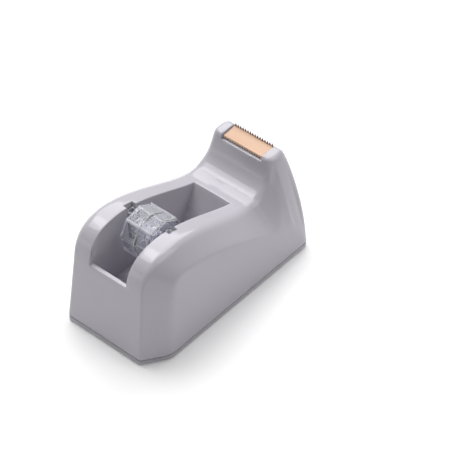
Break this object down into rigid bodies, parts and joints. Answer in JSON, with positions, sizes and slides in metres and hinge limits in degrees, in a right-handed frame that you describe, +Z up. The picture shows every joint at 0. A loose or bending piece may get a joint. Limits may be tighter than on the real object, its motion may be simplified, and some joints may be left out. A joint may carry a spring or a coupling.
{
  "type": "desktop tape dispenser",
  "caption": "Weighted desktop tape dispenser: curved plastic body with an open tape well, a clear lift-out hub for a tape roll and a serrated cutter on a raised head.",
  "frame": {"origin": "on the desk, under the middle of the body", "axes": "+X from the rear face towards the cutter head, +Y to the left, +Z up"},
  "size_m": [0.115, 0.063, 0.0596],
  "materials": {
    "shell_plastic": "glossy moulded light grey",
    "base_plastic": "satin moulded grey",
    "ballast_iron": "rough cast, dark",
    "screw_steel": "zinc plated",
    "foot_rubber": "matte black",
    "cutter_metal": "copper coloured plating, satin",
    "hub_clear": "clear moulded"
  },
  "bodies": {
    "housing": {"body_shell": "shell_plastic", "base_plate": "base_plastic", "ballast_block": "ballast_iron", "base_screws": "screw_steel", "foot_rear_left": "foot_rubber", "foot_rear_right": "foot_rubber", "foot_front_left": "foot_rubber", "foot_front_right": "foot_rubber", "cutter_blade": "cutter_metal"},
    "spindle": {"hub_axle": "hub_clear", "hub_axle_end": "hub_clear"},
    "drum": {"hub_drum": "hub_clear", "hub_cap": "hub_clear"}
  },
  "joints": [
    {"name": "hub_lift", "type": "slide", "parent": "housing", "child": "spindle", "axis": [0, 0, 1], "range_m": [0, 0.045]},
    {"name": "hub_spin", "type": "hinge", "parent": "spindle", "child": "drum", "pos_m": [-0.02275, 0, 0.0462], "axis": [0, 1, 0], "continuous": true}
  ]
}
